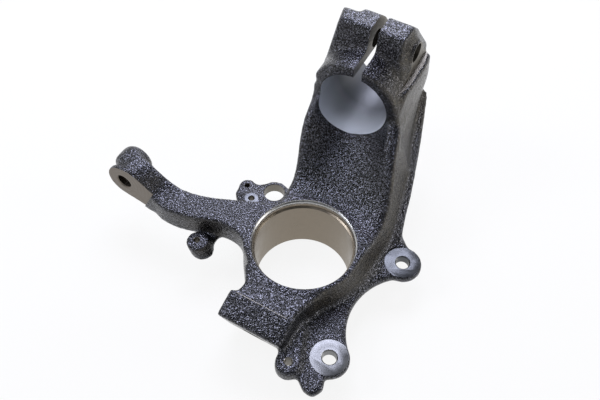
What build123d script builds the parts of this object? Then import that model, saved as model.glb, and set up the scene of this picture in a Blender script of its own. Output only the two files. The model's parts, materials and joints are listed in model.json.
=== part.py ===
from build123d import *
from math import cos, radians, sin
import os

# Steering knuckle, one iron casting with machined bores and faces.
# Frame: Z is the wheel axis and points inboard, Y points up towards the strut, X points to the
# caliper side. The origin is the centre of the wheel bearing bore on the outboard hub face.
# All sizes are in millimetres.

# Hub ring and wheel bearing bore
hub_height = 49.0
hub_wall_outboard = 9.0
hub_wall_inboard = 6.6
hub_edge_round = 3.0
bearing_diameter = 72.0
bearing_seat_height = 42.2
bearing_relief = 1.2
bore_mouth = 2.2
bore_mouth_depth = 1.4

# Flange plate with the caliper ears
plate_bottom = 19.5
plate_thickness = 7.5
plate_edge_round = 2.0
caliper_ear_upper = (65.9, 35.2)
caliper_ear_lower = (54.7, -59.8)
caliper_face_diameter = 27.7
caliper_face_depth = 0.6
caliper_ear_margin = 0.55
caliper_hole_diameter = 10.2
caliper_hole_chamfer = 0.8

# Shield tab and plain tip at the bottom of the plate
tab_centre = (33.0, -78.6)
tab_radius = 9.5
tab_thickness = 12.0
tab_hole_diameter = 5.5

# Speed sensor ear
sensor_face = 23.0
sensor_thickness = 9.0
sensor_hole_centre = (-52.7, 45.6)
sensor_hole_diameter = 16.5
sensor_hole_wall = 3.75
sensor_screw_centre = (-75.4, 40.8)
sensor_screw_diameter = 4.2
sensor_screw_depth = 7.0
sensor_screw_radius = 7.0
sensor_pin_centre = (-65.0, 30.5)
sensor_pin_radius = 7.3
sensor_pin_height = 1.6
sensor_pin_diameter = 5.0

# Ball joint boss, tilted with the swivel axis
joint_tilt = 20.0
joint_half_width = 25.5
joint_gap = 13.7
joint_length = 20.0
joint_depth = 34.0
joint_corner_round = 2.5
joint_bore_diameter = 18.0
joint_bore_depth = 26.0
joint_bore_offset = 20.0
neck_drop = 1.5
neck_round = 2.0

# Upright between the hub and the strut clamp
foot_drop = 18.2
flange_drop = 21.0
flange_thickness = 8.5
back_drop = 30.0
rim_drop = 1.3
left_side_drop = 3.0
trough_sink = 0.8
climb_start = 0.46
climb_end = 0.94

# Strut clamp
strut_x = -14.0
strut_y = 100.0
strut_z = 99.5
strut_tilt = 4.0
strut_diameter = 55.0
clamp_wall = 8.5
clamp_bottom = -3.0
clamp_top = 56.0
clamp_slit = 6.4
slit_shift = 2.2
lug_left_width = 34.5
lug_right_width = 31.0
tube_left_width = 32.3
lug_reach = 54.0
lug_round = 13.0
lug_notch_along = 33.0
lug_notch_width = 19.5
pinch_along = 33.5
pinch_reach = 35.5
pinch_hole_diameter = 14.5
pinch_flat_start = 18.0

# Steering arm and tie rod boss
arm_drop = 0.0
arm_thickness = 21.0
tie_rod_x = -147.0
tie_rod_drop = 0.0
tie_rod_pad_y = -21.0
tie_rod_boss_radius = 14.8
tie_rod_boss_length = 4.5
tie_rod_waist_radius = 12.0
tie_rod_dome_shift = (-3.4, 1.8)
tie_rod_dome_radius = 13.2
tie_rod_dome_length = 27.3
tie_rod_dome_setback = 9.0
tie_rod_dome_round = 6.5
tie_rod_dome_front_round = 3.0
tie_rod_hole_diameter = 12.0
tie_rod_chamfer = 0.75
tie_rod_seat_diameter = 18.0
tie_rod_seat_depth = 1.6

# Bracket lug under the arm
bracket_centre = (-74.0, -31.0)
bracket_radius = 8.8
bracket_top = 37.0
bracket_thickness = 13.0
bracket_lean = 5.0
bracket_edge_round = 1.5
bracket_web_drop = 5.0
bracket_web_width = 15.0
bracket_web_thickness = 5.5
bracket_hole_diameter = 4.5

# Back pockets
pocket_wall = 11.5
pocket_root_wall = 3.0
pocket_round = 5.0
pocket_start = 52.0
pocket_end_gap = 7.0
rib_thickness = 8.0
rib_shift = 5.0

# Room that a cut has beyond the surface it starts from, how far the cuts of bores and flats run
# on through the air, and half the width that a side shape is drawn through
cut_clearance = 1.0
run_out = 12.0
side_reach = 60.0

# Sizes that follow from the ones above
bearing_radius = bearing_diameter / 2
hub_radius = bearing_radius + hub_wall_outboard
hub_radius_inboard = bearing_radius + hub_wall_inboard
plate_top = plate_bottom + plate_thickness
caliper_ear_radius = caliper_face_diameter / 2 + caliper_ear_margin
sensor_ring_radius = sensor_hole_diameter / 2 + sensor_hole_wall
joint_edge_y = -hub_radius - joint_gap
clamp_radius = strut_diameter / 2 + clamp_wall
arm_top = hub_height - arm_drop
arm_bottom = arm_top - arm_thickness
tie_rod_z = hub_height - tie_rod_drop
arm_end_top = tie_rod_z + tie_rod_boss_radius + 0.5
arm_end_bottom = tie_rod_z - tie_rod_boss_radius - 0.5


def across(y):
    """Plane across the upright at a height y, with x sideways and y along the wheel axis."""
    return Plane(origin=(0, y, 0), x_dir=(1, 0, 0), z_dir=(0, -1, 0))


def floor_height(y):
    """Height of the trough floor, which climbs from the hub face to the strut bore."""
    climb = (y / strut_y - climb_start) / (climb_end - climb_start)
    bore_floor = strut_z - strut_diameter / 2
    return hub_height - trough_sink + max(climb, 0) * (bore_floor - hub_height + trough_sink)


# Hub ring: a turned shape with a light draft towards the inboard face
with BuildPart() as hub:
    with BuildSketch(Plane.XZ):
        Polygon(
            (0, 0), (hub_radius, 0), (hub_radius, plate_top), (hub_radius_inboard, hub_height),
            (0, hub_height), align=None,
        )
    revolve(axis=Axis.Z)
    fillet(hub.edges().group_by(Axis.Z)[-1], hub_edge_round)

# Flange plate: the caliper ears, the web between them, the tip below the lower ear and the shield tab
upper_x, upper_y = caliper_ear_upper
lower_x, lower_y = caliper_ear_lower
tab_x, tab_y = tab_centre
with BuildPart() as plate:
    with BuildSketch(Plane.XY.offset(plate_bottom)):
        with BuildLine():
            Polyline(
                (lower_x + 9.8, lower_y + 10.3), (lower_x - 14.7, lower_y - 2.2), (20, -55), (0, -40),
                (0, 40), (40, 64), (57, 56), (upper_x, upper_y + 12.8),
                (upper_x, upper_y - caliper_ear_radius),
            )
            ThreePointArc(
                (upper_x, upper_y - caliper_ear_radius), (hub_radius + 5.6, -13.5),
                (lower_x + 9.8, lower_y + 10.3),
            )
        make_face()
        with Locations(caliper_ear_upper, caliper_ear_lower):
            Circle(caliper_ear_radius)
        with BuildLine():
            FilletPolyline(
                (lower_x + 5, lower_y + 5), (lower_x + 12.8, lower_y - 2.2), (lower_x + 3.9, lower_y - 13.7),
                (lower_x + 7.3, lower_y - 22.2), (lower_x + 2.8, lower_y - 30.2),
                (lower_x - 4.7, lower_y - 29.2), (lower_x - 13.7, lower_y - 22.2), (lower_x - 24.7, lower_y),
                radius=(5, 4, 5, 4, 6, 3), close=False,
            )
            Line((lower_x - 24.7, lower_y), (lower_x + 5, lower_y + 5))
        make_face()
    extrude(amount=plate_thickness)
    with BuildSketch(Plane.XY.offset(plate_bottom)):
        with Locations(tab_centre):
            Circle(tab_radius)
        with BuildLine():
            Polyline(
                (tab_x - tab_radius, tab_y), (tab_x + tab_radius, tab_y), (tab_x - 3, -48), (tab_x - 13, -48),
                close=True,
            )
        make_face()
    extrude(amount=tab_thickness)
    plate_faces = plate.faces().sort_by(Axis.Z)
    fillet(plate_faces[-1].edges() + plate_faces[0].edges(), plate_edge_round)

# Speed sensor ear: a thin plate that carries the sensor, its screw and its locating pin
hole_x, hole_y = sensor_hole_centre
screw_x, screw_y = sensor_screw_centre
pin_x, pin_y = sensor_pin_centre
with BuildPart() as sensor_ear:
    with BuildSketch(Plane.XY.offset(sensor_face - sensor_thickness)):
        with Locations(sensor_hole_centre):
            Circle(sensor_ring_radius)
        with Locations(sensor_screw_centre):
            Circle(sensor_screw_radius)
        with Locations(sensor_pin_centre):
            Circle(sensor_pin_radius)
        with BuildLine():
            Polyline(
                (-30, 52), (hole_x + 6.7, hole_y + 10.4), (hole_x - 10.3, hole_y + 5.4),
                (screw_x + 7.4, screw_y + 6.2), (screw_x - 6.6, screw_y + 1.2),
                (screw_x - 4.6, screw_y - 10.8), (pin_x + 5, pin_y - 22.5), (-30, 5), close=True,
            )
        make_face()
    extrude(amount=sensor_thickness)
    with BuildSketch(Plane.XY.offset(sensor_face)):
        with Locations(sensor_pin_centre):
            Circle(sensor_pin_radius)
    extrude(amount=sensor_pin_height)

# Upright: sections across it, from the hub to the strut clamp. Its inboard side is a trough that
# grows out of the hub face and runs into the strut bore, and a flange runs up its right side.
# Each section has its share of the way to the strut axis, the sideways places of the left side,
# left lip, right lip, rim, wall foot and flange edge from the spine, and how far the left lip and
# the right lip stand over the floor.
trough_sections = [
    (-0.20, -28, -22, 26, 33, 37, 38, 0.8, 0.8),
    (0.00, -28, -22, 30, 42, 48, 49, 0.8, 0.8),
    (0.26, -32.4, -28.4, 41.6, 47.6, 52.6, 59.6, 0.8, 1.2),
    (0.46, -30.6, -26.6, 44.4, 49.9, 56.4, 64.4, 2.0, 5.0),
    (0.62, -32.3, -27.3, 41.7, 47.7, 56.2, 62.7, 8.0, 12.5),
    (0.78, -35.1, -29.1, 34.9, 43.4, 54.4, 60.9, 18.0, 20.5),
    (0.88, -34.8, -28.6, 31.8, 41.6, 53.4, 59.7, 21.5, 22.7),
    (0.98, -34.5, -28.0, 27.6, 38.0, 52.0, 58.5, 24.5, 24.5),
]
with BuildPart() as trough:
    for share, left, left_lip, right_lip, rim, foot, flange, left_rise, right_rise in trough_sections:
        spine = strut_x * share
        floor_z = floor_height(strut_y * share)
        with BuildSketch(across(strut_y * share)):
            with BuildLine():
                ThreePointArc(
                    (spine + left_lip, floor_z + left_rise), (spine + (left_lip + right_lip) / 2, floor_z),
                    (spine + right_lip, floor_z + right_rise),
                )
                Polyline(
                    (spine + right_lip, floor_z + right_rise), (spine + rim, floor_z + right_rise - rim_drop),
                    (spine + foot, floor_z - foot_drop), (spine + flange, floor_z - flange_drop),
                    (spine + flange - 1, floor_z - flange_drop - flange_thickness),
                    (spine + left + 4, floor_z - back_drop),
                    (spine + left, floor_z + left_rise - left_side_drop),
                    (spine + left_lip, floor_z + left_rise),
                )
            make_face()
    loft()

# Collar around the strut tube, with the same flange. Its right wall stands up to the lug. Each section
# has its place along Y from the strut axis point, the sideways places of the left side, wall, foot and
# flange edge, the height of the wall's top over the strut axis point, and the depths of the flange and
# the back under it.
collar_sections = [
    (-3.0, -34, 37.2, 51.3, 58.5, 1.5, 48.3, 56.5),
    (13.0, -37, 37.5, 45.5, 54.0, 21, 46.5, 54.5),
    (26.0, -40, 38.0, 41.0, 50, 24, 44.5, 51.5),
    (57.0, -43, 35.0, 33.0, 38.6, 22, 18.5, 27.0),
]
strut_up = (0, cos(radians(strut_tilt)), sin(radians(strut_tilt)))
strut_frame = Plane(origin=(strut_x, strut_y, strut_z), x_dir=(-1, 0, 0), z_dir=strut_up)
slit_frame = Plane(origin=(strut_x, strut_y, strut_z), x_dir=strut_up, z_dir=(1, 0, 0))
with BuildPart() as collar:
    for along, left, wall, foot, flange, wall_top, flange_depth, back_depth in collar_sections:
        with BuildSketch(across(strut_y + along)):
            Polygon(
                (strut_x + left, strut_z + 4), (strut_x + left, strut_z - 20),
                (strut_x + left + 5, strut_z - back_depth),
                (strut_x + flange - 1, strut_z - flange_depth - flange_thickness),
                (strut_x + flange, strut_z - flange_depth), (strut_x + foot, strut_z - flange_depth + 4),
                (strut_x + wall, strut_z), (strut_x + wall - 1, strut_z + wall_top),
                (strut_x + wall - 22, strut_z + wall_top + 5), align=None,
            )
    loft()
    split(bisect_by=strut_frame.offset(clamp_top), keep=Keep.BOTTOM)

# Strut clamp: the tube and the two lugs of the pinch bolt
with BuildPart() as tube:
    with BuildSketch(strut_frame.offset(clamp_bottom)):
        Circle(clamp_radius)
    extrude(amount=clamp_top - clamp_bottom)
    split(bisect_by=Plane.YZ.offset(strut_x - tube_left_width))

# Where the outer corners of the lugs are cut off, and the slopes of those cuts, each as the
# distance along the strut, the reach from its axis and the distance to the right of it
lug_corner_cuts = [
    ((14, 20, -32), (-10, 10, -44)),
    ((37, 47, -31.5), (10, 5, -10)),
    ((14, 16, lug_right_width), (-10, 10, 31)),
    ((38, lug_reach, 23), (5, 5, 7)),
]
with BuildPart() as lugs:
    with BuildSketch(slit_frame.offset(-lug_left_width)):
        Polygon(
            (pinch_along - 17.5, 0), (pinch_along - 16.5, 33), (pinch_along - 15, 39),
            (pinch_along - 14, 46), (pinch_along - 13, lug_reach - 2), (pinch_along - 11.5, lug_reach),
            (pinch_along + 4.5, lug_reach), (clamp_top - 9, lug_reach - 9), (clamp_top - 3, clamp_radius),
            (clamp_top, clamp_radius - 9), (clamp_top, 0), align=None,
        )
    extrude(amount=lug_left_width + lug_right_width)
    fillet(lugs.edges().filter_by(Axis((0, 0, 0), strut_up)).group_by(Axis.Z)[-1], lug_round)
    with BuildSketch(slit_frame.offset(-lug_left_width)):
        Polygon(
            (lug_notch_along, lug_reach), (clamp_top, lug_notch_along + lug_reach - clamp_top),
            (clamp_top + run_out, lug_reach + run_out), (lug_notch_along, lug_reach + run_out), align=None,
        )
    extrude(amount=lug_notch_width, mode=Mode.SUBTRACT)
    for corner, slope in lug_corner_cuts:
        corner_point = slit_frame.from_local_coords(Vector(corner))
        slope_point = slit_frame.from_local_coords(Vector(slope))
        split(bisect_by=Plane(origin=corner_point, z_dir=slope_point - slit_frame.origin), keep=Keep.BOTTOM)

# Steering arm: its plan shape cut to its side shape, and the tie rod boss at its end. Its top rises to
# the boss, on the front side later than on the back. Each side shape has its place along Y, the place
# where the top starts to rise, and points of the rise with their heights over the plain top.
front_rise = ((-116, 0.8), (-122, 3.8), (-128, 8.4), (-135, 12.8))
back_rise = ((-109, 2.0), (-117, 5.2), (-124, 9.6), (-133, 14.0))
arm_rises = [
    (-side_reach, -106, front_rise),
    (tie_rod_pad_y, -106, front_rise),
    (tie_rod_pad_y / 3, -97, back_rise),
    (side_reach, -97, back_rise),
]
with BuildPart() as arm:
    with BuildSketch(Plane.XY):
        with BuildLine():
            Line((-20, 30), (-41, 18))
            Spline(
                (-41, 18), (-62, 9.4), (-80, 1.5), (-101, -3.6), (-118, -4.2), (-132, -3.5), (tie_rod_x, 0)
            )
            Line((tie_rod_x, 0), (tie_rod_x, tie_rod_pad_y - 3))
            Line((tie_rod_x, tie_rod_pad_y - 3), (-118, -23.5))
            Spline((-118, -23.5), (-97, -25.6), (-72, -18.6), (-56, -15), (-43, -18), (-36, -26))
            Line((-36, -26), (-20, 30))
        make_face()
    extrude(amount=2 * hub_height)
    for y, rise_x, rise in arm_rises:
        with BuildSketch(Plane.XZ.offset(-y)):
            with BuildLine():
                Line((-20, arm_top), (rise_x, arm_top))
                Spline(
                    (rise_x, arm_top), *[(x, arm_top + height) for x, height in rise],
                    (tie_rod_x, arm_end_top), tangents=[(-1, 0), (-1, 0)],
                )
                Line((tie_rod_x, arm_end_top), (tie_rod_x, arm_end_bottom))
                Spline(
                    (tie_rod_x, arm_end_bottom), (-132, arm_bottom + 3), (-100, arm_bottom),
                    tangents=[(1, 0), (1, 0)],
                )
                Line((-100, arm_bottom), (-20, arm_bottom))
                Line((-20, arm_bottom), (-20, arm_top))
            make_face()
    loft(ruled=True, mode=Mode.INTERSECT)

with BuildPart() as tie_rod_boss:
    with BuildSketch(Plane.XZ.offset(-tie_rod_pad_y)):
        with Locations((tie_rod_x, tie_rod_z)):
            Circle(tie_rod_boss_radius)
    extrude(amount=-tie_rod_boss_length)
    with BuildSketch(Plane.XZ.offset(-tie_rod_pad_y)):
        with Locations((tie_rod_x, tie_rod_z)):
            Circle(tie_rod_waist_radius)
    extrude(amount=-tie_rod_dome_setback - tie_rod_dome_round)

with BuildPart() as tie_rod_dome:
    with BuildSketch(Plane.XZ.offset(-tie_rod_pad_y)):
        with Locations((tie_rod_x + tie_rod_dome_shift[0], tie_rod_z + tie_rod_dome_shift[1])):
            Circle(tie_rod_dome_radius)
    extrude(amount=-tie_rod_dome_length)
    with BuildSketch(Plane.XZ.offset(-tie_rod_pad_y)):
        with Locations((tie_rod_x + tie_rod_dome_shift[0], tie_rod_z + tie_rod_dome_shift[1])):
            Circle(tie_rod_dome_radius + 1)
    extrude(amount=-tie_rod_dome_setback, mode=Mode.SUBTRACT)
    fillet(tie_rod_dome.edges().group_by(Axis.Y)[-1], tie_rod_dome_round)
    fillet(tie_rod_dome.edges().group_by(Axis.Y)[0], tie_rod_dome_front_round)

# Bracket lug under the arm: it leans a little, and a lower web joins it to the arm
with BuildPart() as bracket:
    for depth, lean in ((0, 0), (bracket_thickness, bracket_lean)):
        with BuildSketch(Plane.XY.offset(bracket_top - depth)):
            with Locations((bracket_centre[0] + lean, bracket_centre[1])):
                Circle(bracket_radius)
    loft()
    fillet(bracket.edges().group_by(Axis.Z)[-1] + bracket.edges().group_by(Axis.Z)[0], bracket_edge_round)
    with BuildSketch(Plane.XY.offset(bracket_top - bracket_web_drop)):
        with Locations((bracket_centre[0] + bracket_lean / 2, bracket_centre[1])):
            Rectangle(bracket_web_width, 2 * bracket_radius, align=(Align.CENTER, Align.MIN))
    extrude(amount=-bracket_web_thickness)

# Ball joint boss, square to the swivel axis
joint_up = (0, cos(radians(joint_tilt)), sin(radians(joint_tilt)))
joint_frame = Plane(origin=(0, joint_edge_y, hub_height), x_dir=(1, 0, 0), z_dir=joint_up)
with BuildPart() as joint_boss:
    with BuildSketch(joint_frame):
        Rectangle(2 * joint_half_width, joint_depth, align=(Align.CENTER, Align.MIN))
    extrude(amount=-joint_length)
    fillet(joint_boss.edges().filter_by(Axis((0, 0, 0), joint_up)), joint_corner_round)

# Neck between the ball joint boss and the hub
with BuildPart() as neck:
    with BuildSketch(Plane.XY.offset(hub_height - neck_drop)):
        Polygon(
            (-22, joint_edge_y - 3.3), (-20, -48), (-28, -36), (0, 0), (34, -26), (27, -44),
            (23, joint_edge_y - 3.3), align=None,
        )
    extrude(amount=plate_bottom - hub_height + neck_drop)
    fillet(neck.edges().group_by(Axis.Z)[-1], neck_round)

# Back pockets, which leave the trough floor, the strut tube and a centre rib at an even wall
pocket_end = strut_y + clamp_top - pocket_end_gap
pocket_bend = strut_y - pocket_end_gap
rib_x = strut_x + rib_shift
with BuildPart() as back_pockets:
    with BuildSketch(Plane.YZ.offset(-side_reach)):
        Polygon(
            (pocket_start, 0), (pocket_start, floor_height(pocket_start) - pocket_wall - pocket_root_wall),
            (pocket_bend, floor_height(pocket_bend) - pocket_wall), (pocket_end, strut_z - clamp_radius + 1),
            (pocket_end + 3, 0), align=None,
        )
    extrude(amount=2 * side_reach)
    with BuildSketch(Plane.XY):
        Polygon(
            (-28, pocket_start), (-38, pocket_bend), (-44, 126), (-45, pocket_end),
            (rib_x - rib_thickness / 2, pocket_end), (rib_x - rib_thickness / 2, pocket_start), align=None,
        )
        Polygon(
            (38, pocket_start), (33.5, pocket_bend), (22.5, 126), (13, pocket_end),
            (rib_x + rib_thickness / 2, pocket_end), (rib_x + rib_thickness / 2, pocket_start), align=None,
        )
        fillet(vertices(), pocket_round)
    extrude(amount=2 * hub_height, mode=Mode.INTERSECT)

# The whole casting, then its machined bores and faces
with BuildPart() as steering_knuckle:
    add(hub.part)
    add(plate.part)
    add(sensor_ear.part)
    add(trough.part)
    add(collar.part)
    add(tube.part)
    add(lugs.part)
    add(arm.part)
    add(tie_rod_boss.part)
    add(tie_rod_dome.part)
    add(bracket.part)
    add(joint_boss.part)
    add(neck.part)
    add(back_pockets.part, mode=Mode.SUBTRACT)

    # Bearing bore: seat, relief and mouth
    mouth_radius = bearing_radius + bore_mouth
    relief_radius = bearing_radius + bearing_relief
    with BuildSketch(Plane.XZ):
        Polygon(
            (0, -cut_clearance), (bearing_radius, -cut_clearance), (bearing_radius, bearing_seat_height),
            (relief_radius, bearing_seat_height + 0.8), (relief_radius, hub_height - bore_mouth_depth),
            (mouth_radius, hub_height), (mouth_radius, hub_height + run_out), (0, hub_height + run_out),
            align=None,
        )
    revolve(axis=Axis.Z, mode=Mode.SUBTRACT)

    # Strut bore, slit, pinch bolt hole and the flats it clamps on
    with BuildSketch(strut_frame.offset(clamp_bottom - run_out)):
        Circle(strut_diameter / 2)
    extrude(amount=clamp_top - clamp_bottom + 2 * run_out, mode=Mode.SUBTRACT)
    with BuildSketch(slit_frame.offset(slit_shift)):
        Rectangle(2 * (clamp_top + run_out), lug_reach + run_out, align=(Align.CENTER, Align.MIN))
    extrude(amount=clamp_slit / 2, both=True, mode=Mode.SUBTRACT)
    with BuildSketch(slit_frame):
        with Locations((pinch_along, pinch_reach)):
            Circle(pinch_hole_diameter / 2)
    extrude(amount=2 * lug_left_width, both=True, mode=Mode.SUBTRACT)
    for width, way in ((-lug_left_width, -1), (lug_right_width, 1)):
        with BuildSketch(slit_frame.offset(width)):
            with Locations((pinch_along, pinch_flat_start)):
                Rectangle(2 * clamp_top, lug_reach, align=(Align.CENTER, Align.MIN))
        extrude(amount=way * clamp_radius, mode=Mode.SUBTRACT)

    # Caliper bolt faces and holes, and the hole of the shield tab
    with BuildSketch(Plane.XY.offset(plate_top - caliper_face_depth)):
        with Locations(caliper_ear_upper, caliper_ear_lower):
            Circle(caliper_face_diameter / 2)
    extrude(amount=caliper_face_depth + cut_clearance, mode=Mode.SUBTRACT)
    caliper_face = Plane.XY.offset(plate_top - caliper_face_depth)
    with Locations(*[caliper_face * Location((x, y)) for x, y in (caliper_ear_upper, caliper_ear_lower)]):
        CounterSinkHole(
            caliper_hole_diameter / 2, caliper_hole_diameter / 2 + caliper_hole_chamfer,
            2 * plate_thickness, 90,
        )
    with BuildSketch(Plane.XY):
        with Locations(tab_centre):
            Circle(tab_hole_diameter / 2)
    extrude(amount=plate_bottom + 2 * tab_thickness, mode=Mode.SUBTRACT)

    # Ball joint bore, open on the side away from the hub
    with BuildSketch(joint_frame.offset(-joint_length)):
        with Locations((0, joint_bore_offset)):
            Circle(joint_bore_diameter / 2)
    extrude(amount=joint_bore_depth, mode=Mode.SUBTRACT)

    # Tie rod pad, milled flat up to a straight end, and its hole
    pad_frame = Plane.XZ.offset(-tie_rod_pad_y)
    with BuildSketch(pad_frame):
        Polygon(
            (tie_rod_x + 38, tie_rod_z + 22), (tie_rod_x + 10, tie_rod_z - 33),
            (tie_rod_x - 30, tie_rod_z - 33), (tie_rod_x - 30, tie_rod_z + 22), align=None,
        )
    extrude(amount=run_out, mode=Mode.SUBTRACT)
    with Locations(pad_frame * Location((tie_rod_x, tie_rod_z))):
        CounterSinkHole(
            tie_rod_hole_diameter / 2, tie_rod_hole_diameter / 2 + tie_rod_chamfer,
            2 * tie_rod_dome_length, 90,
        )
    with BuildSketch(Plane.XZ.offset(-tie_rod_pad_y - tie_rod_dome_length + tie_rod_seat_depth)):
        with Locations((tie_rod_x, tie_rod_z)):
            Circle(tie_rod_seat_diameter / 2)
    extrude(amount=-tie_rod_seat_depth - cut_clearance, mode=Mode.SUBTRACT)

    # Bracket hole
    with BuildSketch(Plane.XY.offset(bracket_top - 2 * bracket_thickness)):
        with Locations(bracket_centre):
            Circle(bracket_hole_diameter / 2)
    extrude(amount=3 * bracket_thickness, mode=Mode.SUBTRACT)

    # Sensor seat, locating pin hole and blind screw hole
    with BuildSketch(Plane.XY):
        with Locations(sensor_hole_centre):
            Circle(sensor_hole_diameter / 2)
        with Locations(sensor_pin_centre):
            Circle(sensor_pin_diameter / 2)
    extrude(amount=sensor_face + 2 * sensor_pin_height, mode=Mode.SUBTRACT)
    with BuildSketch(Plane.XY.offset(sensor_face - sensor_screw_depth)):
        with Locations(sensor_screw_centre):
            Circle(sensor_screw_diameter / 2)
    extrude(amount=sensor_screw_depth + cut_clearance, mode=Mode.SUBTRACT)

steering_knuckle.part.label = "steering_knuckle"
os.makedirs("parts", exist_ok=True)
export_step(steering_knuckle.part, "parts/steering_knuckle.step")
print("volume in cubic centimetres", steering_knuckle.part.volume / 1000)
print("centre of mass", steering_knuckle.part.center())
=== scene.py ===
import json
import math

import bpy
import numpy as np
from mathutils import Matrix, Vector


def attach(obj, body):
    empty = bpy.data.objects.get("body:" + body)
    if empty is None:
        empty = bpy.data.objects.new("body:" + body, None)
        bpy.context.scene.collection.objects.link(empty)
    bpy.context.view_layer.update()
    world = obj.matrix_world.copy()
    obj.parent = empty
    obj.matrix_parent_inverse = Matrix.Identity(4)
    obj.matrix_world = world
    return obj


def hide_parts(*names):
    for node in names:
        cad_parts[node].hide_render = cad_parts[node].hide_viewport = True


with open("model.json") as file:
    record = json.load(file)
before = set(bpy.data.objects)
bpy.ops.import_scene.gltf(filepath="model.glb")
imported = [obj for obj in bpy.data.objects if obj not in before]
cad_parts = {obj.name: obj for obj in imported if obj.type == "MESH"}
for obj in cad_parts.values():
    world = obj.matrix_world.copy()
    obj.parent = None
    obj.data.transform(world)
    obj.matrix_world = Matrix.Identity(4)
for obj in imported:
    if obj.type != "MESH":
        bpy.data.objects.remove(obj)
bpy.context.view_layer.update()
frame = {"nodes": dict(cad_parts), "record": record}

# Sizes and places are in millimetres in the part's frame, and MM turns them into metres.
# Z is the wheel axis and points inboard, Y points up towards the strut, X to the caliper side.
MM = 0.001
NODE = "steering_knuckle"
VOXEL = 1.25
SHARP_ANGLE = math.radians(36)
ROUND_STEPS = 96
SMALL_ROUND_STEPS = 48

# The casting's skin is smoothed in rounds. Hollows move by the first share, crests by the second.
SMOOTHING_ROUNDS = 12
HOLLOW_SHARE = 0.85
CREST_SHARE = 0.3

mounts = {mount["name"]: mount for mount in frame["record"]["mounts"]}


def place(name):
    """A mount's point, in millimetres."""
    return Vector(mounts[name]["pos_m"]) / MM


def size(name, key):
    """One of a mount's stated sizes, in millimetres."""
    return mounts[name]["dims"][key]


# Hub ring and its bore
hub_height = 49.0
bore_radius = size("wheel_bearing_bore", "r_mm")
bore_seat_height = size("wheel_bearing_bore", "length_mm")
mouth_radius = bore_radius + 2.8
step_radius = bore_radius + 2.0
groove_radius = bore_radius + 1.3
groove_rise = 0.9
groove_end = 3.0
mouth_depths = (3.4, 2.9, 1.6, 1.1)
tool_over = 6.0

# Plate and caliper ears
plate_bottom = 19.5
plate_top = 27.0
caliper_half_span = Vector((5.6, 47.5, 0))
caliper_centres = [place("caliper_bolts") + caliper_half_span, place("caliper_bolts") - caliper_half_span]
caliper_face_radius = 13.85
caliper_face_depth = 0.6
caliper_hole_radius = size("caliper_bolts", "hole_r_mm")
caliper_hole_chamfer = 0.8

# Shield tab, sensor ear and bracket lug
tab_centre = place("shield_screw_hole")
tab_top = 31.5
sensor_face = 23.0
sensor_bottom = 14.0
pin_top = 24.6
pin_face_radius = 6.0
pin_face_depth = 0.2
small_hole_chamfer = 0.4
sensor_centre = place("speed_sensor_seat")
sensor_radius = size("speed_sensor_seat", "r_mm")
pin_centre = place("sensor_pin_hole")
screw_centre = place("sensor_screw_hole")
screw_depth = size("sensor_screw_hole", "length_mm")
bracket_centre = place("bracket_hole")
bracket_top = 37.0
bracket_bottom = 24.0

# Strut clamp
strut_axis = Vector(mounts["strut_clamp_bore"]["axis"]).normalized()
strut_point = Vector((-14.0, 100.0, 99.5))
strut_radius = size("strut_clamp_bore", "r_mm")
clamp_radius = 36.0
clamp_bottom = -3.0
clamp_top = 56.0
slit_half_width = 3.2
slit_shift = 2.2
lug_left_width = 34.5
lug_right_width = 31.0
lug_reach = 54.0
pinch_along = 33.5
pinch_reach = 35.5
pinch_radius = size("pinch_bolt_hole", "r_mm")
pinch_flat_start = 18.0
slit_tool_reach = 80.0
pinch_tool_reach = 60.0
flat_tool_low = -30.0
flat_tool_high = 90.0

# Tie rod pad
tie_rod_centre = place("tie_rod_hole")
tie_rod_radius = size("tie_rod_hole", "r_mm")
tie_rod_pad_y = -21.0
tie_rod_chamfer = 0.75
tie_rod_seat_radius = 9.0
tie_rod_seat_depth = 25.7
tie_rod_tool_reach = 40.0
pad_tool_height = 12.0
pad_cut = [(-109, 71), (-137, 16), (-177, 16), (-177, 71)]

# Ball joint boss
joint_axis = -Vector(mounts["ball_joint_bore"]["axis"]).normalized()
joint_edge = Vector((0, -58.7, 49.0))
joint_length = 20.0
neck_half_width = 24.0
neck_top = 47.4
neck_end_y = -50.0
neck_tool_height = 60.0
joint_edge_half = 20.0
joint_edge_cut = [(-1.8, 1.0), (0.2, -1.0), (1.2, 0.2), (0.2, 1.2)]
joint_bore_radius = size("ball_joint_bore", "r_mm")
joint_bore_depth = size("ball_joint_bore", "length_mm")
joint_bore_offset = 20.0


def frame_at(origin, x_dir, z_dir):
    """A local frame as a matrix, from its origin, its x direction and its z direction."""
    z_axis = Vector(z_dir).normalized()
    x_axis = Vector(x_dir).normalized()
    turn = Matrix((x_axis, z_axis.cross(x_axis), z_axis)).transposed().to_4x4()
    return Matrix.Translation(Vector(origin)) @ turn


wheel_frame = frame_at((0, 0, 0), (1, 0, 0), (0, 0, 1))
strut_frame = frame_at(strut_point, (-1, 0, 0), strut_axis)
slit_frame = frame_at(strut_point, strut_axis, (1, 0, 0))
joint_frame = frame_at(joint_edge, (1, 0, 0), joint_axis)
edge_frame = frame_at(joint_edge, joint_axis, (1, 0, 0))
pad_frame = frame_at((0, tie_rod_pad_y, 0), (1, 0, 0), (0, -1, 0))


# Solids

def solid(name, points, faces, placed):
    """A mesh object from local points in millimetres."""
    mesh = bpy.data.meshes.new(name)
    mesh.from_pydata([tuple((placed @ Vector(point)) * MM) for point in points], [], faces)
    piece = bpy.data.objects.new(name, mesh)
    bpy.context.scene.collection.objects.link(piece)
    return piece


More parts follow.
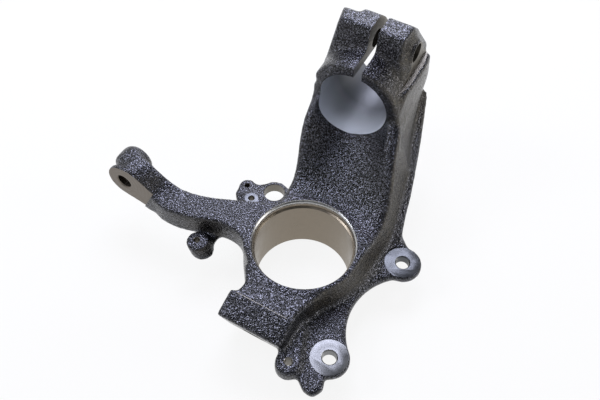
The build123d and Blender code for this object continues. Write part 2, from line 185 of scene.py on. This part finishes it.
def prism(name, outline, low, high, placed=wheel_frame):
    """A closed prism of an outline, from one height to another along the local z."""
    after = outline[1:] + outline[:1]
    if sum(a[0] * b[1] - b[0] * a[1] for a, b in zip(outline, after)) < 0:
        outline = outline[::-1]
    count = len(outline)
    points = [(x, y, low) for x, y in outline] + [(x, y, high) for x, y in outline]
    sides = [(i, (i + 1) % count, count + (i + 1) % count, count + i) for i in range(count)]
    caps = [tuple(reversed(range(count))), tuple(range(count, 2 * count))]
    return solid(name, points, sides + caps, placed)


def box(name, low, high, placed=wheel_frame):
    """A closed box from its lowest to its highest local corner."""
    (x0, y0, z0), (x1, y1, z1) = low, high
    return prism(name, [(x0, y0), (x1, y0), (x1, y1), (x0, y1)], z0, z1, placed)


def turned(name, profile, centre=(0, 0), placed=wheel_frame, steps=ROUND_STEPS):
    """A closed round solid from (radius, height) points, listed upwards, about the local z."""
    middle_x, middle_y = centre[0], centre[1]
    points = []
    for r, z in profile:
        for step in range(steps):
            angle = 2 * math.pi * step / steps
            points.append((middle_x + r * math.cos(angle), middle_y + r * math.sin(angle), z))
    faces = [tuple(reversed(range(steps)))]
    for ring in range(len(profile) - 1):
        low, high = ring * steps, (ring + 1) * steps
        for step in range(steps):
            after = (step + 1) % steps
            faces.append((low + step, low + after, high + after, high + step))
    faces.append(tuple(range((len(profile) - 1) * steps, len(profile) * steps)))
    return solid(name, points, faces, placed)


def drill(name, r, low, mouth, chamfer, centre=(0, 0), placed=wheel_frame, clearance=4):
    """A drill that comes in over the mouth and leaves a small chamfer there."""
    profile = [(r, low), (r, mouth - chamfer), (r + chamfer, mouth), (r + chamfer, mouth + clearance)]
    return turned(name, profile, centre, placed, SMALL_ROUND_STEPS)


def joined(name, pieces):
    """All the pieces as one mesh."""
    bpy.ops.object.select_all(action="DESELECT")
    for piece in pieces:
        piece.select_set(True)
    bpy.context.view_layer.objects.active = pieces[0]
    bpy.ops.object.join()
    pieces[0].name = name
    return pieces[0]


def applied(piece, kind, **settings):
    """The piece with one modifier applied."""
    modifier = piece.modifiers.new(kind.lower(), kind)
    for key, value in settings.items():
        setattr(modifier, key, value)
    bpy.context.view_layer.objects.active = piece
    bpy.ops.object.modifier_apply(modifier=modifier.name)
    return piece


# Materials

def node_maker(tree):
    """Empties a node tree and gives a function that adds a node with its settings."""
    tree.nodes.clear()

    def node(kind, **settings):
        made = tree.nodes.new(kind)
        for key, value in settings.items():
            setattr(made, key, value)
        return made

    return node


def new_material(name):
    """An empty material, its node maker, its link maker and its shader."""
    material = bpy.data.materials.new(name)
    material.use_nodes = True
    tree = material.node_tree
    node = node_maker(tree)
    output = node("ShaderNodeOutputMaterial")
    shader = node("ShaderNodeBsdfPrincipled")
    tree.links.new(shader.outputs["BSDF"], output.inputs["Surface"])
    return material, node, tree.links.new, shader


def noise(node, link, coordinates, scale, detail, roughness=0.5):
    """A noise texture, with its scale in repeats per metre."""
    texture = node("ShaderNodeTexNoise")
    texture.inputs["Scale"].default_value = scale
    texture.inputs["Detail"].default_value = detail
    texture.inputs["Roughness"].default_value = roughness
    link(coordinates, texture.inputs["Vector"])
    return texture.outputs["Fac"]


def spread(node, link, value, low, high, new_low, new_high):
    """A value moved from one range to another."""
    mapped = node("ShaderNodeMapRange")
    for key, number in (("From Min", low), ("From Max", high), ("To Min", new_low), ("To Max", new_high)):
        mapped.inputs[key].default_value = number
    link(value, mapped.inputs["Value"])
    return mapped.outputs["Result"]


def bumped(node, link, shader, height, depth, strength):
    """Gives a shader the relief of a height value. The depth is in metres."""
    bump = node("ShaderNodeBump")
    bump.inputs["Distance"].default_value = depth
    bump.inputs["Strength"].default_value = strength
    link(height, bump.inputs["Height"])
    link(bump.outputs["Normal"], shader.inputs["Normal"])


def blended(node, link, first, second, share):
    """Two colours mixed by a share."""
    mix = node("ShaderNodeMix", data_type="RGBA")
    mix.inputs["A"].default_value = first
    mix.inputs["B"].default_value = second
    link(share, mix.inputs["Factor"])
    return mix.outputs["Result"]


def multiplied(node, link, first, second):
    """The product of two values."""
    product = node("ShaderNodeMath", operation="MULTIPLY")
    link(first, product.inputs[0])
    link(second, product.inputs[1])
    return product.outputs["Value"]


def painted_side_reflection(node, link, here):
    """Share of painted warm reflection: the walls that face the caliper side are tinted brown as if they
    reflected a warm room.
    """
    facing = node("ShaderNodeVectorMath", operation="DOT_PRODUCT")
    link(node("ShaderNodeNewGeometry").outputs["Normal"], facing.inputs[0])
    facing.inputs[1].default_value = reflection_side
    share = spread(node, link, facing.outputs["Value"], 0.45, 0.85, 0, 1)
    apart = node("ShaderNodeSeparateXYZ")
    link(here, apart.inputs["Vector"])
    slanted = node("ShaderNodeMath", operation="MULTIPLY_ADD")
    slanted.inputs[1].default_value = flange_slant
    link(apart.outputs["Y"], slanted.inputs[0])
    link(apart.outputs["X"], slanted.inputs[2])
    away = node("ShaderNodeVectorMath", operation="DISTANCE")
    link(here, away.inputs[0])
    away.inputs[1].default_value = trough_middle
    patches = noise(node, link, here, 260, 3)
    # Each row is a value, the range that it is read over, and the share at the range's two ends.
    for value, low, high, start, end in (
        (apart.outputs["Z"], 0.027, 0.034, 0, 1), (apart.outputs["Y"], -0.046, -0.036, 0, 1),
        (slanted.outputs["Value"], 0.058, 0.061, 1, 0), (patches, 0.3, 0.6, 0.5, 1),
        (away.outputs["Value"], 0.05, 0.062, 0, 1),
    ):
        share = multiplied(node, link, share, spread(node, link, value, low, high, start, end))
    return share


def cast_paint():
    """Glossy black paint over the grain of a sand casting, with a painted brown reflection on the walls that
    face the caliper side.
    """
    material, node, link, shader = new_material("cast_paint")
    here = node("ShaderNodeTexCoord").outputs["Object"]
    grain = noise(node, link, here, grain_scale, 2, 0.7)
    swell = noise(node, link, here, swell_scale, 2)
    height = node("ShaderNodeMath", operation="MULTIPLY_ADD")
    height.inputs[1].default_value = 0.5
    link(swell, height.inputs[0])
    link(grain, height.inputs[2])
    bumped(node, link, shader, height.outputs["Value"], grain_depth, 0.9)
    specks = spread(node, link, noise(node, link, here, speck_scale, 1), 0.5, 0.6, 0, 1)
    link(specks, shader.inputs["Metallic"])
    painted = blended(node, link, paint_black, paint_speck, specks)
    # Painted warm reflection: brown mixed into the paint on walls that face the caliper side.
    mix = node("ShaderNodeMix", data_type="RGBA")
    link(painted_side_reflection(node, link, here), mix.inputs["Factor"])
    link(painted, mix.inputs["A"])
    mix.inputs["B"].default_value = side_reflection_brown
    link(mix.outputs["Result"], shader.inputs["Base Color"])
    shader.inputs["Roughness"].default_value = 0.16
    shader.inputs["IOR"].default_value = 1.34
    return material


def machined(name, centre, axis, colour, roughness, ring_depth=0.00012, spacing=0.55, shade_heights=None):
    """Bare iron with turning marks around an axis. The spacing is in millimetres.

    The shade heights are two heights along Y, in metres: below the first the iron keeps its full colour as a
    painted highlight, and above the second it is painted dark as shade.
    """
    material, node, link, shader = new_material(name)
    here = node("ShaderNodeTexCoord").outputs["Object"]
    turn = node("ShaderNodeMapping", vector_type="TEXTURE")
    turn.inputs["Location"].default_value = Vector(centre) * MM
    turn.inputs["Rotation"].default_value = Vector(axis).to_track_quat("Z", "Y").to_euler()
    link(here, turn.inputs["Vector"])
    wave = node("ShaderNodeTexWave", wave_type="RINGS", rings_direction="Z", wave_profile="SIN")
    wave.inputs["Scale"].default_value = 1 / (spacing * MM) / wave_radians
    wave.inputs["Distortion"].default_value = 0.6
    wave.inputs["Detail"].default_value = 1
    wave.inputs["Detail Scale"].default_value = 30
    link(turn.outputs["Vector"], wave.inputs["Vector"])
    bumped(node, link, shader, wave.outputs["Fac"], ring_depth, 0.5)
    cloud = noise(node, link, here, cloud_scale, 3)
    # Without shade heights the cloud mottles the tone at random; with them the iron is painted dark higher up
    # along Y as shade.
    cloud_and_shade_dim, share, metallic = 0.72, cloud, 1
    if shade_heights:
        apart = node("ShaderNodeSeparateXYZ")
        link(here, apart.inputs["Vector"])
        cloud_and_shade_dim, share, metallic = 0.2, spread(node, link, apart.outputs["Y"], *shade_heights, 1, 0), 0.25
    darker = tuple(cloud_and_shade_dim * channel for channel in colour[:3]) + (1,)
    link(blended(node, link, darker, colour, share), shader.inputs["Base Color"])
    rough = spread(node, link, cloud, 0.3, 0.7, roughness - 0.05, roughness + 0.08)
    link(rough, shader.inputs["Roughness"])
    shader.inputs["Metallic"].default_value = metallic
    return material


# Noise scales are in repeats per metre and the depth of the grain is in metres. A wave texture of scale 1
# turns through 20 radians to the metre, so a spacing is the length of one radian.
grain_scale = 480
grain_depth = 0.0012
swell_scale = 130
speck_scale = 1000
cloud_scale = 160
wave_radians = 20
paint_black = (0.006, 0.006, 0.007, 1)
paint_speck = (0.13, 0.132, 0.155, 1)
# Brown of the painted warm reflection on the caliper-side walls.
side_reflection_brown = (0.07, 0.063, 0.052, 1)

# The painted warm reflection lies on walls that face this way. It stops at a slanted line before the
# flange and keeps off the trough.
reflection_side = Vector((0.9, -0.44, 0)).normalized()
flange_slant = 0.2
trough_middle = Vector((-30, 85, 60)) * MM

bright_iron = (0.60, 0.60, 0.60, 1)
# The two caliper spot faces have one finish; the upper one is painted darker as shade, the lower one lighter
# as light.
upper_face_shaded_iron = (0.12, 0.125, 0.135, 1)
lower_face_lit_iron = (0.24, 0.245, 0.255, 1)
# Bluish white, painted as the highlight at the strut bore's lower end.
strut_bore_highlight_iron = (0.80, 0.84, 0.92, 1)
clamp_iron = (0.22, 0.205, 0.18, 1)
seat_iron = (0.28, 0.24, 0.19, 1)
pad_iron = (0.19, 0.165, 0.14, 1)
materials = [
    cast_paint(),
    machined("bearing_seat", (0, 0, 0), (0, 0, 1), seat_iron, 0.32),
    machined("bore_mouth", (0, 0, 0), (0, 0, 1), bright_iron, 0.26),
    # The strut bore is painted with a highlight near its lower opening and with shade higher up inside.
    machined("strut_seat", strut_point, strut_axis, strut_bore_highlight_iron, 0.45, shade_heights=(0.086, 0.124)),
    machined("clamp_faces", strut_point, (1, 0, 0), clamp_iron, 0.42),
    machined("caliper_face_upper", caliper_centres[0], (0, 0, 1), upper_face_shaded_iron, 0.36, 0.00012, 1.1),
    machined("caliper_face_lower", caliper_centres[1], (0, 0, 1), lower_face_lit_iron, 0.36, 0.00012, 1.1),
    machined("tie_rod_faces", tie_rod_centre, (0, 1, 0), pad_iron, 0.36),
    machined("small_holes", (0, 0, 0), (0, 0, 1), clamp_iron, 0.35),
    machined("joint_faces", joint_edge, joint_axis, clamp_iron, 0.35),
]
PAINT, SEAT, MOUTH, STRUT, CLAMP, CALIPER_UP, CALIPER_LOW, TIE_ROD, SMALL, JOINT = range(len(materials))


def finished_in(piece, index):
    """Gives every face of a cutter, or of the casting, one of the materials."""
    piece.data.materials.clear()
    for material in materials:
        piece.data.materials.append(material)
    piece.data.polygons.foreach_set("material_index", [index] * len(piece.data.polygons))
    return piece


# The casting before it is machined

def vertex_places(mesh):
    """The mesh's points as an array."""
    places = np.empty(len(mesh.vertices) * 3, np.float32)
    mesh.vertices.foreach_get("co", places)
    return places.reshape(-1, 3).astype(float)


def cast_smoothing(piece, rounds, hollow, crest):
    """Rounds a skin as a casting is: hollows fill with wide fillets, crests lose little."""
    mesh = piece.data
    places = vertex_places(mesh)
    edges = np.empty(len(mesh.edges) * 2, np.int32)
    mesh.edges.foreach_get("vertices", edges)
    first, second = edges.reshape(-1, 2).T
    corners = np.empty(len(mesh.loops), np.int32)
    mesh.loops.foreach_get("vertex_index", corners)
    quads = corners.reshape(-1, 4)
    count = len(places)
    neighbours = np.bincount(first, minlength=count) + np.bincount(second, minlength=count)
    for _ in range(rounds):
        along = places[quads[:, 2]] - places[quads[:, 0]]
        across = places[quads[:, 3]] - places[quads[:, 1]]
        facing = np.cross(along, across)
        total = np.zeros_like(places)
        normal = np.zeros_like(places)
        for axis in range(3):
            total[:, axis] += np.bincount(first, places[second, axis], count)
            total[:, axis] += np.bincount(second, places[first, axis], count)
            for corner in range(4):
                normal[:, axis] += np.bincount(quads[:, corner], facing[:, axis], count)
        normal /= np.maximum(np.linalg.norm(normal, axis=1), 1e-12)[:, None]
        step = total / neighbours[:, None] - places
        outward = np.sum(step * normal, axis=1)
        places += step * np.where(outward > 0, hollow, crest)[:, None]
    mesh.vertices.foreach_set("co", places.astype(np.float32).ravel())
    mesh.update()


# The sides of the lugs and of the tie rod pad as cast, which are a little proud of the machined faces.
# The lug outline runs along the strut and away from its axis, the pad outline along X and Z.
lug_outline = [
    (16, 20), (17, 33), (18.5, 39), (19.5, 46), (20.5, 52), (22, 54), (38, 54), (47, 45), (53, 36), (56, 27),
    (56, 20),
]
pad_outline = [
    (-112, 40), (-118, 49.5), (-123, 53), (-129, 57.5), (-136, 62), (-147, 63.8), (-154.4, 61.8),
    (-159.8, 56.4), (-161.8, 49), (-159.8, 41.6), (-154.4, 36.2), (-147, 34), (-132, 31), (-117, 28.8),
]
pad_stock = 1.5
pinch_plug_start = -31


def plugs():
    """Solids that close the machined holes, so that the cast skin is smoothed without them."""
    return [
        turned("hub", [(mouth_radius + 0.4, 0), (mouth_radius + 0.4, hub_height)]),
        turned("strut", [(strut_radius + 0.3, clamp_bottom + 0.3), (strut_radius + 0.3, clamp_top)],
               placed=strut_frame),
        box("slit", (clamp_bottom, 20, slit_shift - slit_half_width - 0.5),
            (clamp_top, clamp_radius, slit_shift + slit_half_width + 0.5), slit_frame),
        prism("lugs", lug_outline, -14, 26, slit_frame),
        turned("pinch", [(pinch_radius + 1, pinch_plug_start), (pinch_radius + 1, lug_right_width + 1.5)],
               (pinch_along, pinch_reach), slit_frame),
        *[turned("caliper", [(caliper_face_radius, plate_bottom), (caliper_face_radius, plate_top)], centre)
          for centre in caliper_centres],
        turned("tab", [(4, plate_bottom), (4, tab_top)], tab_centre),
        turned("sensor", [(sensor_radius + 0.6, sensor_bottom), (sensor_radius + 0.6, sensor_face)],
               sensor_centre),
        turned("pin", [(4, sensor_bottom), (4, pin_top)], pin_centre),
        turned("screw", [(3, sensor_bottom), (3, sensor_face)], screw_centre),
        turned("bracket", [(3.5, bracket_bottom), (3.5, bracket_top)], bracket_centre),
        prism("pad", pad_outline, -1, pad_stock, pad_frame),
        turned("tie_rod", [(8, -26.5), (8, 0)], (tie_rod_centre.x, tie_rod_centre.z), pad_frame),
        turned("joint", [(joint_bore_radius + 0.5, -joint_length), (joint_bore_radius + 0.5, 7)],
               (0, joint_bore_offset), joint_frame),
    ]


def raw_casting():
    """The casting before machining, as one closed skin."""
    body = bpy.data.objects.new("casting", frame["nodes"][NODE].data.copy())
    body.data.materials.clear()
    bpy.context.scene.collection.objects.link(body)
    body = joined("casting", [body] + plugs())
    applied(body, "REMESH", mode="VOXEL", voxel_size=VOXEL * MM)
    cast_smoothing(body, SMOOTHING_ROUNDS, HOLLOW_SHARE, CREST_SHARE)
    return finished_in(body, PAINT)


# Machining

def machine(body, cutter, finish):
    """Cuts one tool's shape out of the body and gives the new faces the finish."""
    finished_in(cutter, finish)
    applied(body, "BOOLEAN", operation="DIFFERENCE", object=cutter, solver="MANIFOLD")
    bpy.data.objects.remove(cutter, do_unlink=True)


def machine_hub(body):
    """The bearing bore, its relief and its mouth."""
    seat = [(bore_radius, -tool_over), (bore_radius, bore_seat_height),
            (groove_radius, bore_seat_height + groove_rise), (groove_radius, hub_height - groove_end)]
    mouth_radii = (groove_radius, groove_radius, step_radius, mouth_radius)
    mouth = [(r, hub_height - depth) for r, depth in zip(mouth_radii, mouth_depths)]
    machine(body, turned("seat", seat), SEAT)
    machine(body, turned("mouth", mouth + [(mouth_radius, hub_height + tool_over)]), MOUTH)


def machine_clamp(body):
    """The strut bore, the slit, the pinch bolt's hole and the flats of the lugs."""
    strut = [(strut_radius, clamp_bottom - 2 * tool_over), (strut_radius, clamp_top + 2 * tool_over)]
    machine(body, turned("strut", strut, placed=strut_frame), STRUT)
    slit_low = (-slit_tool_reach, 0, slit_shift - slit_half_width)
    slit_high = (slit_tool_reach, lug_reach + tool_over, slit_shift + slit_half_width)
    machine(body, box("slit", slit_low, slit_high, slit_frame), CLAMP)
    pinch = [(pinch_radius, -pinch_tool_reach), (pinch_radius, pinch_tool_reach)]
    machine(body, turned("pinch", pinch, (pinch_along, pinch_reach), slit_frame, SMALL_ROUND_STEPS), CLAMP)
    for low, high, finish in ((-pinch_tool_reach, -lug_left_width, PAINT),
                              (lug_right_width, pinch_tool_reach, CLAMP)):
        machine(body, box("flat", (flat_tool_low, pinch_flat_start, low),
                          (flat_tool_high, flat_tool_high, high), slit_frame), finish)


def machine_plate(body):
    """The spot faces and holes of the plate, the pin boss's face and the neck's step."""
    face = plate_top - caliper_face_depth
    for centre, finish in zip(caliper_centres, (CALIPER_UP, CALIPER_LOW)):
        spot = [(caliper_face_radius, face), (caliper_face_radius, face + tool_over)]
        machine(body, turned("spot", spot, centre), finish)
        machine(body, drill("bolt", caliper_hole_radius, plate_bottom - tool_over, face, caliper_hole_chamfer,
                            centre), finish)
    pin = [(pin_face_radius, pin_top - pin_face_depth), (pin_face_radius, pin_top + tool_over)]
    machine(body, turned("pin", pin, pin_centre), CALIPER_UP)
    machine(body, box("neck", (-neck_half_width, joint_edge.y, neck_top),
                      (neck_half_width, neck_end_y, neck_tool_height)), PAINT)
    machine(body, prism("edge", joint_edge_cut, -joint_edge_half, joint_edge_half, edge_frame), JOINT)
    for centre, r, top in ((tab_centre, size("shield_screw_hole", "r_mm"), tab_top),
                           (bracket_centre, size("bracket_hole", "r_mm"), bracket_top),
                           (pin_centre, size("sensor_pin_hole", "r_mm"), pin_top),
                           (sensor_centre, sensor_radius, sensor_face)):
        machine(body, drill("hole", r, 0, top, small_hole_chamfer, centre), SMALL)
    machine(body, drill("screw", size("sensor_screw_hole", "r_mm"), sensor_face - screw_depth, sensor_face,
                        small_hole_chamfer, screw_centre), SMALL)


def machine_joints(body):
    """The tie rod's pad and hole and the ball joint's bore."""
    machine(body, prism("pad", pad_cut, 0, pad_tool_height, pad_frame), TIE_ROD)
    eye = (tie_rod_centre.x, tie_rod_centre.z)
    machine(body, drill("tie_rod", tie_rod_radius, -tie_rod_tool_reach, 0, tie_rod_chamfer, eye, pad_frame),
            TIE_ROD)
    seat = [(tie_rod_seat_radius, -tie_rod_tool_reach), (tie_rod_seat_radius, -tie_rod_seat_depth)]
    machine(body, turned("seat", seat, eye, pad_frame), TIE_ROD)
    bore = [(joint_bore_radius, -joint_length - tool_over),
            (joint_bore_radius, joint_bore_depth - joint_length)]
    machine(body, turned("joint", bore, (0, joint_bore_offset), joint_frame), JOINT)


def shaded(piece):
    """Smooth faces with the machined edges kept sharp."""
    mesh = piece.data
    mesh.polygons.foreach_set("use_smooth", [True] * len(mesh.polygons))
    mesh.set_sharp_from_angle(angle=SHARP_ANGLE)
    return piece


# Studio

def aimed(piece, position, target):
    """Puts a lamp or camera in place, looking at a target."""
    piece.location = position
    piece.rotation_euler = (Vector(position) - Vector(target)).to_track_quat("Z", "Y").to_euler()


# The camera's directions, its place in millimetres, and the point in metres that the lamps shine on
right = Vector((0.8684, 0.4956, 0.0166))
up = Vector((-0.4042, 0.6881, 0.6026))
back = Vector((0.2872, -0.5300, 0.7978))
camera_place = Vector((134.2, -255.2, 481.6))
middle = Vector((-0.04, 0.035, 0.06))


def seen_from(x, y, z):
    """A direction given to the right, up and towards the camera."""
    return (right * x + up * y + back * z).normalized()


# Each lamp's name, direction, width and height in metres, power in watts and colour
lamps = [
    ("overhead", Vector((-0.26, 0.5, 0.83)), 0.85, 0.56, 13.5, (0.82, 0.84, 1.0)),
    ("top", Vector((-0.25, 0.9, 0.35)), 0.6, 0.35, 4, (0.86, 0.88, 1.0)),
    ("front", Vector((-0.2, -0.12, 0.97)), 0.3, 0.24, 2, (0.82, 0.84, 1.0)),
    ("left", Vector((-0.62, -0.33, 0.71)), 0.36, 0.36, 5, (0.9, 0.92, 1.0)),
    ("side", seen_from(0.9, 0.1, 0.3), 0.5, 0.9, 4, (1.0, 0.97, 0.92)),
]
lamp_distance = 1.2


def softbox(name, direction, wide, tall, power, colour):
    """A soft rectangular lamp that shines on the object."""
    lamp = bpy.data.lights.new(name, "AREA")
    lamp.shape = "RECTANGLE"
    lamp.size = wide
    lamp.size_y = tall
    lamp.energy = power
    lamp.color = colour
    piece = bpy.data.objects.new(name, lamp)
    bpy.context.scene.collection.objects.link(piece)
    aimed(piece, middle + direction * lamp_distance, middle)


def studio():
    """Camera, lamps, floor and world."""
    focal_pixels = 715.15
    frame_width = 600
    camera_data = bpy.data.cameras.new("camera")
    camera_data.sensor_width = 36
    camera_data.lens = focal_pixels * camera_data.sensor_width / frame_width
    camera = bpy.data.objects.new("camera", camera_data)
    turn = Matrix((right, up, back)).transposed().to_4x4()
    camera.matrix_world = Matrix.Translation(camera_place * MM) @ turn
    bpy.context.scene.collection.objects.link(camera)
    bpy.context.scene.camera = camera

    for lamp in lamps:
        softbox(*lamp)

    floor_size = 4
    mesh = bpy.data.meshes.new("floor")
    corners = [(-floor_size, -floor_size, 0), (floor_size, -floor_size, 0), (floor_size, floor_size, 0),
               (-floor_size, floor_size, 0)]
    mesh.from_pydata(corners, [], [(0, 1, 2, 3)])
    floor = bpy.data.objects.new("floor", mesh)
    bpy.context.scene.collection.objects.link(floor)
    floor.data.materials.append(floor_paint())
    world_light()


def seen_as_white(node, link):
    """One for camera, glossy and transmission rays, and nought for the rest."""
    path = node("ShaderNodeLightPath")
    first = node("ShaderNodeMath", operation="MAXIMUM")
    link(path.outputs["Is Camera Ray"], first.inputs[0])
    link(path.outputs["Is Glossy Ray"], first.inputs[1])
    second = node("ShaderNodeMath", operation="MAXIMUM")
    link(first.outputs["Value"], second.inputs[0])
    link(path.outputs["Is Transmission Ray"], second.inputs[1])
    return second.outputs["Value"]


def floor_paint():
    """A pale floor that looks white and keeps a faint shadow."""
    material, node, link, shader = new_material("floor_paint")
    shader.inputs["Base Color"].default_value = (0.8, 0.8, 0.8, 1)
    shader.inputs["Roughness"].default_value = 0.9
    output = next(made for made in material.node_tree.nodes if made.type == "OUTPUT_MATERIAL")
    white = node("ShaderNodeEmission")
    mix = node("ShaderNodeMixShader")
    share = node("ShaderNodeMath", operation="MULTIPLY")
    share.inputs[1].default_value = 0.88
    link(seen_as_white(node, link), share.inputs[0])
    link(share.outputs["Value"], mix.inputs["Fac"])
    link(shader.outputs["BSDF"], mix.inputs[1])
    link(white.outputs["Emission"], mix.inputs[2])
    link(mix.outputs["Shader"], output.inputs["Surface"])
    return material


def world_light():
    """A plain grey room, whose walls near the floor look white."""
    world = bpy.data.worlds.new("room")
    bpy.context.scene.world = world
    world.use_nodes = True
    tree = world.node_tree
    node = node_maker(tree)
    link = tree.links.new
    output = node("ShaderNodeOutputWorld")
    room = node("ShaderNodeBackground")
    room.inputs["Color"].default_value = (0.9, 0.95, 1.0, 1)
    room.inputs["Strength"].default_value = 0.14
    white = node("ShaderNodeBackground")
    white.inputs["Color"].default_value = (1, 1, 1, 1)
    apart = node("ShaderNodeSeparateXYZ")
    link(node("ShaderNodeTexCoord").outputs["Generated"], apart.inputs["Vector"])
    wall = spread(node, link, apart.outputs["Z"], 0.3, 0.5, 1, 0)
    mix = node("ShaderNodeMixShader")
    link(multiplied(node, link, wall, seen_as_white(node, link)), mix.inputs["Fac"])
    link(room.outputs["Background"], mix.inputs[1])
    link(white.outputs["Background"], mix.inputs[2])
    link(mix.outputs["Shader"], output.inputs["Surface"])


casting = raw_casting()
for machine_some in (machine_hub, machine_clamp, machine_plate, machine_joints):
    machine_some(casting)
shaded(casting)
print("casting", len(casting.data.vertices), "points", len(casting.data.polygons), "faces")
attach(casting, "root")
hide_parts(NODE)
studio()
bpy.context.scene.view_settings.view_transform = "Standard"
